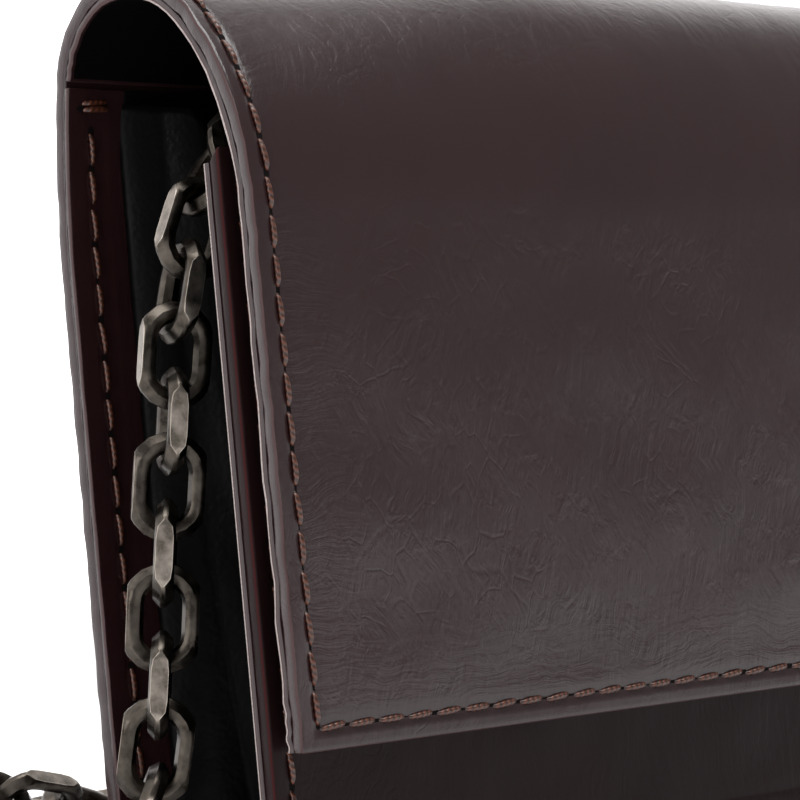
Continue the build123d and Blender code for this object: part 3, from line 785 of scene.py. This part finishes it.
flat_sheet("front_panel_leather", "front_leather", 1, -1, (panel_oxblood,), "front",
           "oxblood_leather", step=2.5 * mm, rounding=turned_round, shape=slope_top)
front_facing = flat_sheet("front_panel_facing", "front_lining", 1, 1, (raw_oxblood, black_lining),
                          "front", "black_lining", rounding=0.12 * mm)
paint_inside(front_facing, 0.5 * mm)
sheets = [
    ("base_outer", "base_leather", 2, -1, oxblood, "shell", "oxblood_leather"),
    ("base_inner", "base_lining", 2, 1, black_lining, "shell", "black_lining"),
    ("pocket_front_wall", "pocket_wall_front", 1, -1, black_lining, "shell", "black_lining"),
    ("pocket_rear_wall", "pocket_wall_rear", 1, 1, black_lining, "shell", "black_lining"),
    ("slip_pocket_sheet", "slip_pocket", 1, 1, black_lining, "front", "black_lining"),
]
sheets += [
    (f"card_slot_sheet_{n}", f"card_slot_{n}", 1, -1, black_lining, "shell", "black_lining")
    for n in range(1, 5)
]
for name, node, thin, face, finish, body_name, slot in sheets:
    flat_sheet(name, node, thin, face, (finish,), body_name, slot)

# Pressed leather fibre, dull and speckled brown; it is out of sight between the leathers
pressed_board, tree = new_material("pressed_leather_fibre_board")
place = add_node(tree, "TexCoord").outputs["Object"]
fibre = add_node(tree, "TexNoise", {"Vector": place, "Scale": 1800.0, "Detail": 4.0})
tone = add_node(tree, "Mix", {
    "Factor": fibre, "A": linear("#6d5a44"), "B": linear("#a18a6c"),
}, data_type="RGBA")
show(tree, add_node(tree, "BsdfPrincipled", {"Base Color": tone, "Roughness": 0.85}))
for name in ("flap_board", "front_board", "back_board", "base_board"):
    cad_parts[name].data.materials[0] = pressed_board


# ---- Side gussets: soft black nappa, folded inwards once between back and front panel,
# where it falls in loose upright folds; glued behind the hem and sewn along the panel.
# Soft nappa: black, with thin grey lights only where a fold turns sharply
nappa = soft_leather("soft_black_nappa_leather", "#050505", 0.31, 1500.0, 0.5 * mm)
gusset_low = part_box("gusset_right")[0]
gusset_skin = 1.1 * mm
gusset_lines = np.array([-gusset_skin / 2, -0.2 * mm, 0.2 * mm, gusset_skin / 2])
fold_inset, fold_y = 23.5 * mm, 1.0 * mm
lip_y = gusset_low.y + gusset_skin / 2 + 0.05 * mm
flange_y = back_high.y - wall - gusset_skin / 2 - 0.1 * mm
gusset_path = np.array([
    (half_width - 15 * mm, flange_y), (half_width - hem_width - 1 * mm, flange_y),
    (half_width - hem_width - 0.4 * mm, flange_y - 1.2 * mm), (half_width - 17 * mm, 8.2 * mm),
    (half_width - fold_inset, fold_y), (half_width - 13 * mm, -5.4 * mm),
    (half_width - 5.4 * mm, lip_y + 0.3 * mm), (half_width - 1.2 * mm, lip_y),
])
rim_y = np.array([-14.2, -7.0, 4.0, 9.5, 20.0]) * mm
rim_z = np.array([85.6, 83.6, 85.6, 99.6, 102.2]) * mm


def smooth_line(points, share):
    """Points at shares of a line that runs smoothly through the given ones."""
    count = len(points) - 1
    at = np.clip(share * count, 0, count - 1e-9)
    i = at.astype(int)
    t = (at - i)[:, None]
    padded = np.vstack([2 * points[0] - points[1], points, 2 * points[-1] - points[-2]])
    a, b, c, d = (padded[i + k] for k in range(4))
    bend = (2 * a - 5 * b + 4 * c - d) * t ** 2 + (3 * b - a - 3 * c + d) * t ** 3
    return 0.5 * (2 * b + (c - a) * t + bend)


def place_on_gusset(u, v, w, drop):
    """A point of the right gusset: u is the share from back to panel, v the share upwards."""
    middle = smooth_line(gusset_path, u)
    later, sooner = (smooth_line(gusset_path, np.clip(u + step, 0, 1)) for step in (0.004, -0.004))
    ahead = later - sooner
    ahead /= np.linalg.norm(ahead, axis=1)[:, None]
    normal = np.stack([-ahead[:, 1], ahead[:, 0]], axis=1)
    rim = np.interp(middle[:, 1], rim_y, rim_z)
    loose = np.sin(np.clip((u - 0.28) / 0.62, 0, 1) * math.pi) ** 1.5
    upright = u * 30 + 1.6 * v + 0.8 * np.sin(2.3 * v + 0.4)
    fold = (np.abs(np.sin(upright)) ** 0.7 - 0.6) * 1.5 * mm * (0.6 + 0.4 * v)
    fold += 0.45 * mm * ripple(np.stack([u * 3, v], axis=1), 0.35, 31)
    place = middle + normal * (w + loose * fold)[:, None]
    rise = gusset_low.z + 0.1 * mm + v * (rim - gusset_low.z)
    return np.stack([place[:, 0], place[:, 1], rise], axis=1)


def turn_outwards(mesh):
    """Makes all faces of a closed mesh point outwards."""
    bm = bmesh.new()
    bm.from_mesh(mesh)
    bmesh.ops.recalc_face_normals(bm, faces=bm.faces)
    bm.to_mesh(mesh)
    bm.free()


for side, word in ((-1, "left"), (1, "right")):
    name = f"gusset_fold_{word}"

    def place_gusset(u, v, w, drop, side=side):
        return place_on_gusset(u, v, w, drop) * (side, 1, 1)

    mesh = sheet_mesh(name, np.linspace(0, 1, 220), np.linspace(0, 1, 80), gusset_lines, 0.0,
                      place_gusset, inside_out=side > 0)
    turn_outwards(mesh)
    gusset = add_object(name, mesh, nappa)
    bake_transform(gusset)
    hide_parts(f"gusset_{word}")


# ---- Zipped middle pocket: leather edging glued between its walls, woven zip tape, and cast
# teeth, stops, slider and pull. They are plated antique gunmetal, and so are the rivets, the
# magnetic snap and the rings.
edge_low, edge_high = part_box("pocket_edging")
edge_width = 4.0 * mm
ends = [((edge_low.x, edge_low.x + edge_width), (edge_low.z, edge_high.z)),
        ((edge_high.x - edge_width, edge_high.x), (edge_low.z, edge_high.z)),
        ((edge_low.x + edge_width, edge_high.x - edge_width), (edge_low.z, edge_low.z + mm))]
edge_depths = np.linspace(edge_low.y + 0.02 * mm, edge_high.y - 0.02 * mm, 5)


def place_upright(u, v, w, drop):
    """Lays a sheet in the plane of X and Z."""
    return np.stack([u, w, v], axis=1)


def place_level(u, v, w, drop):
    """Lays a sheet in the plane of X and Y."""
    return np.stack([u, v, w], axis=1)


edging_parts = bmesh.new()
for (x0, x1), (z0, z1) in ends:
    across, upwards = (lines_between(*pair, 0.2 * mm, 3 * mm) for pair in ((x0, x1), (z0, z1)))
    part = sheet_mesh("edging", across, upwards, edge_depths, 0.3 * mm, place_upright, inside_out=True)
    edging_parts.from_mesh(part)
edging = add_object("pocket_edge_strip", mesh_of(edging_parts, "pocket_edge_strip"), black_lining)
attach(edging, "shell")
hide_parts("pocket_edging")

woven_tape, tree = new_material("woven_black_polyester_zip_tape")
place = add_node(tree, "TexCoord").outputs["Object"]
# Ribs 1.9 mm apart crossed by picks 1.2 mm apart, several times coarser than a real tape's, to show
rib_scale = 1000.0 / 0.6 / 10
rib = add_node(tree, "TexWave", {
    "Vector": place, "Scale": rib_scale, "Distortion": 0.4,
}, bands_direction="X")
pick = add_node(tree, "TexWave", {
    "Vector": place, "Scale": 260.0, "Distortion": 0.6,
}, bands_direction="Y")
weave = add_node(tree, "Math", {0: rib.outputs["Fac"], 1: pick.outputs["Fac"]}, operation="MULTIPLY")
relief = add_node(tree, "Bump", {"Height": weave, "Strength": 0.8, "Distance": 0.15 * mm})
tone = add_node(tree, "Mix", {
    "Factor": weave, "A": linear("#070707"), "B": linear("#1f1e1e"),
}, data_type="RGBA")
show(tree, add_node(tree, "BsdfPrincipled", {
    "Base Color": tone, "Roughness": 0.75, "Sheen Weight": 0.2, "Normal": relief,
}))
tape_low, tape_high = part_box("zip_tapes")
middle_y = (tape_low.y + tape_high.y) / 2
tape_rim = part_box("zip_teeth_front")[0].y + 0.7 * mm
tape_lines = lines_between(tape_low.x, tape_high.x, 0.2 * mm, 2 * mm)
tape_depths = np.linspace(tape_low.z, tape_high.z - 0.05 * mm, 4)
tapes = bmesh.new()
for y0, y1 in ((tape_low.y, tape_rim), (2 * middle_y - tape_rim, tape_high.y)):
    part = sheet_mesh("tape", tape_lines, np.linspace(y0, y1, 6), tape_depths, 0.15 * mm, place_level)
    tapes.from_mesh(part)
tape_pair = add_object("zip_tape_pair", mesh_of(tapes, "zip_tape_pair"), woven_tape)
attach(tape_pair, "shell")
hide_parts("zip_tapes")

# Cast and plated, handled rather than tumbled, so rubbed more evenly
cast_plating = antique_gunmetal("cast_antique_gunmetal_plating", 0.5)
for name in ("zip_teeth_front", "zip_teeth_rear", "zip_stops", "zip_slider", "zip_pull", "tab_rivets",
             "snap_stud", "snap_cup", "snap_washer", "ring_left", "ring_right"):
    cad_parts[name].data.materials[0] = cast_plating


# ---- Ring tabs: a black leather strap folded round each ring's bar, its two tails riveted to
# the pocket's end with plated rivets.
strap = 1.0 * mm
for node in ("ring_tab_left", "ring_tab_right"):
    name = node + "_strap"
    low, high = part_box(node)
    across_x, loop_radius = (low.x + high.x) / 2, (high.x - low.x) / 2
    leg = high.z - loop_radius - low.z
    loop = [(None, leg), (loop_radius, math.pi), (None, leg)]

    def place_strap(u, v, w, drop):
        places, normals = follow(loop, (across_x - loop_radius, low.z), v)
        flat = np.clip((low.z + leg - places[:, 1]) / (3 * mm), 0, 1)
        pinch = (loop_radius - strap) * flat * flat * (3 - 2 * flat)
        toward = np.sign(across_x - places[:, 0])
        out = places + w[:, None] * normals
        return np.stack([out[:, 0] + pinch * toward, u, out[:, 1]], axis=1)

    strap_run = np.linspace(0, 2 * leg + math.pi * loop_radius, 80)
    mesh = sheet_mesh(name, lines_between(low.y, high.y, 0.2 * mm, 1.2 * mm), strap_run,
                      np.linspace(-strap + 0.02 * mm, 0, 4), 0.15 * mm, place_strap)
    turn_outwards(mesh)
    tab = add_object(name, mesh, nappa)
    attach(tab, "shell")
    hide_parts(node)


# ---- Stitching: lockstitch in thick bonded thread, about 5 stitches in 24 mm, pulled down into
# needle holes; copper brown on the oxblood leather, finer and black on the linings.
def thread_mesh(name, length, radius, rise):
    """One stitch: a thread that comes up out of its hole, lies on the leather and dives.
    Its UV map runs along and round the thread."""
    rings, sides = 9, 6
    bm = bmesh.new()
    chart = bm.loops.layers.uv.new("UVMap")
    grid = []
    for i in range(rings):
        t = i / (rings - 1)
        x = (t - 0.5) * length
        z = rise * (1 - (2 * t - 1) ** 4) * 1.5 - 0.5 * rise
        bulk = radius * (0.62 + 0.38 * math.sin(math.pi * min(max(t * 1.1, 0), 1)) ** 0.5)
        lean = (t - 0.5) * 0.3 * mm
        grid.append([bm.verts.new((x, lean + bulk * math.cos(a), z + 0.8 * bulk * math.sin(a)))
                     for a in (2 * math.pi * j / sides for j in range(sides))])
    for i in range(rings - 1):
        for j in range(sides):
            k = (j + 1) % sides
            face = bm.faces.new((grid[i][j], grid[i][k], grid[i + 1][k], grid[i + 1][j]))
            face.smooth = True
            for loop, (a, b) in zip(face.loops, ((i, j), (i, j + 1), (i + 1, j + 1), (i + 1, j))):
                loop[chart].uv = (a / (rings - 1), b / sides)
    bm.faces.new(grid[0])
    bm.faces.new(list(reversed(grid[-1])))
    bmesh.ops.recalc_face_normals(bm, faces=bm.faces)
    return mesh_of(bm, name)


def hole_mesh(name, radius, depth):
    """A needle hole's painted shade: a shallow closed dark dimple, longer along the seam than across."""
    bm = bmesh.new()
    bmesh.ops.create_cone(bm, cap_ends=True, segments=8, radius1=radius * 0.55, radius2=radius, depth=depth)
    bmesh.ops.scale(bm, vec=(1.25, 0.9, 1), verts=bm.verts)
    return mesh_of(bm, name)


def bonded_thread(name, dark, light):
    """Bonded polyester thread: three plies twisted together, waxed, with glints on each ply, and
    painted highlight and shade of the twist: each ply lighter on its crest, darker in its groove.
    """
    material, tree = new_material(name)
    chart = add_node(tree, "UVMap", uv_map="UVMap")
    turned = add_node(tree, "Mapping", {"Vector": chart, "Scale": (5.0, 1.2, 1.0)})
    ply = add_node(tree, "TexWave", {"Vector": turned, "Scale": 0.62}, bands_direction="DIAGONAL")
    place = add_node(tree, "TexCoord").outputs["Object"]
    fuzz = add_node(tree, "TexNoise", {"Vector": place, "Scale": 3500.0, "Detail": 2.0})
    mixed = add_node(tree, "Math", {0: fuzz, 1: 0.5, 2: ply.outputs["Fac"]}, operation="MULTIPLY_ADD")
    # Painted highlight and shade of the twist: each ply's crest light, its groove dark
    tone = add_node(tree, "Mix", {
        "Factor": ply.outputs["Fac"], "A": linear(dark), "B": linear(light),
    }, data_type="RGBA")
    relief = add_node(tree, "Bump", {"Height": mixed, "Strength": 0.5, "Distance": 0.1 * mm})
    show(tree, add_node(tree, "BsdfPrincipled", {
        "Base Color": tone, "Roughness": 0.34, "Normal": relief,
    }))
    return material


copper_thread = bonded_thread("bonded_copper_brown_thread", "#241009", "#502a1a")
black_thread = bonded_thread("bonded_black_thread", "#090909", "#262424")
# Painted shade of a needle hole: a dark dimple, matt, standing for the shade inside the hole
painted_hole_shade, tree = new_material("painted_needle_hole_shade")
show(tree, add_node(tree, "BsdfPrincipled", {
    "Base Color": linear("#060303"), "Roughness": 0.9, "Specular IOR Level": 0.1,
}))


def turn_of(along, normal):
    """The turn that lays X along the seam and Z out of the leather."""
    x, z = Vector(along).normalized(), Vector(normal).normalized()
    y = z.cross(x).normalized()
    return Matrix((x, y, x.cross(y))).transposed().to_euler()


def straight_row(start, end, normal, pitch):
    """Stitches along a straight seam."""
    start, end = Vector(start), Vector(end)
    count = max(int((end - start).length / pitch), 1)
    step = (end - start) / count
    return [(start + step * (i + 0.5), turn_of(step, normal)) for i in range(count)]


def skin_row(side, run_from, run_to, margin, inside=False):
    """Stitches up one side of the outer leather, on its face or on the hem's."""
    count = int((run_to - run_from) / stitch_pitch)
    runs = run_from + (run_to - run_from) * (np.arange(count) + 0.5) / count
    places, normals = follow(flap_outline, (front_face, hem_height), runs)
    row = []
    for (y, z), (ny, nz) in zip(places, normals):
        out = -1 if inside else 1
        inset = wall - 0.1 * mm if inside else 0.3 * mm
        place = (side * (half_width - margin), y - inset * ny, z - inset * nz)
        row.append((place, turn_of((0, nz, -ny), (0, out * ny, out * nz))))
    return row


forward = (0, -1, 0)
flap_rows, hem_rows = [], []
for side in (-1, 1):
    flap_rows += skin_row(side, stitch_margin, fold_run - 3 * mm, stitch_margin)
    flap_rows += skin_row(side, fold_run + 6 * mm, skin_run - 4 * mm, hem_margin)
    hem_rows += skin_row(side, fold_run + 6 * mm, skin_run - 4 * mm, hem_margin, inside=True)
tack_z = fold_place[1] - 3.2 * mm
for side in (-1, 1):
    for rise in (-0.45 * mm, 0.45 * mm):
        tack_y = back_high.y - wall - 1.8 * mm + rise * 0.2
        tack = [(side * (half_width - inset), tack_y, tack_z + rise) for inset in (0.2 * mm, 8.4 * mm)]
        hem_rows += straight_row(*tack, forward, 4.1 * mm)
hem_z = hem_height + stitch_margin
seam_half = half_width - stitch_margin
seam_y = front_face + 0.3 * mm
flap_rows += straight_row((seam_half, seam_y, hem_z), (-seam_half, seam_y, hem_z), forward, stitch_pitch)
panel_y = front_low.y + 0.18 * mm
panel_top = front_high.z - 4 * mm
front_rows = []
for side in (-1, 1):
    upright = [(side * seam_half, panel_y, z) for z in (3 * mm, panel_top)]
    front_rows += straight_row(*upright, forward, stitch_pitch)
level = [(x, panel_y, panel_top) for x in (seam_half, -seam_half)]
front_rows += straight_row(*level, forward, stitch_pitch)
fine_pitch = 3.2 * mm
fine_margin = 2 * mm


def seams_of(low, high):
    """Where the seams lie inside the edges of a pocket leaf: left, right, lower and upper."""
    return low.x + fine_margin, high.x - fine_margin, low.z + fine_margin, high.z - fine_margin


lining_rows = []
for number in range(1, 5):
    low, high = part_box(f"card_slot_{number}")
    face_y = low.y + 0.1 * mm
    left, right, lower, upper = seams_of(low, high)
    lining_rows += straight_row((left, face_y, upper), (right, face_y, upper), forward, fine_pitch)
    if number == 4:
        for x in (left, 0, right):
            lining_rows += straight_row((x, face_y, lower), (x, face_y, upper - mm), forward, fine_pitch)
        lining_rows += straight_row((left, face_y, lower), (right, face_y, lower), forward, fine_pitch)
low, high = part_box("slip_pocket")
slip_y = high.y - 0.1 * mm
slip_rows = []
left, right, lower, upper = seams_of(low, high)
for (x0, z0), (x1, z1) in (
    ((left, lower), (right, lower)), ((left, lower), (left, upper)),
    ((right, lower), (right, upper)), ((left, upper), (right, upper)),
):
    slip_rows += straight_row((x0, slip_y, z0), (x1, slip_y, z1), (0, 1, 0), fine_pitch)
for y in (tape_low.y + 0.55 * mm, tape_high.y - 0.55 * mm):
    along = [(x, y, tape_high.z - 0.02 * mm) for x in (tape_low.x + mm, tape_high.x - mm)]
    lining_rows += straight_row(*along, (0, 0, 1), fine_pitch)

thick_thread = (4.3 * mm, 0.42 * mm, 0.34 * mm)
fine_thread = (2.8 * mm, 0.22 * mm, 0.18 * mm)
seams = [
    ("outer_leather_stitches", flap_rows, thick_thread, stitch_pitch, copper_thread, None),
    ("hem_stitches", hem_rows, thick_thread, stitch_pitch, copper_thread, "shell"),
    ("front_panel_stitches", front_rows, thick_thread, stitch_pitch, copper_thread, "front"),
    ("lining_stitches", lining_rows, fine_thread, fine_pitch, black_thread, "shell"),
    ("slip_pocket_stitches", slip_rows, fine_thread, fine_pitch, black_thread, "front"),
]
for name, rows, (length, radius, rise), pitch, thread, body_name in seams:
    stitches = lay_pieces(name, rows, thread_mesh(name, length, radius, rise), thread,
                          turn_chance=0.05, size_chance=0.06, seed=5)
    to_hole = Vector((-pitch / 2, 0, -0.02 * mm))
    ends = [(Vector(place) + turn.to_matrix() @ to_hole, turn) for place, turn in rows]
    # A dark dimple at each stitch end: painted shade of its needle hole
    dimple = hole_mesh(name, 1.3 * radius, 0.1 * mm)
    holes = lay_pieces(name.replace("stitches", "holes"), ends, dimple, painted_hole_shade, seed=6)
    for piece in (stitches, holes):
        if body_name:
            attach(piece, body_name)
        else:
            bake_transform(piece)
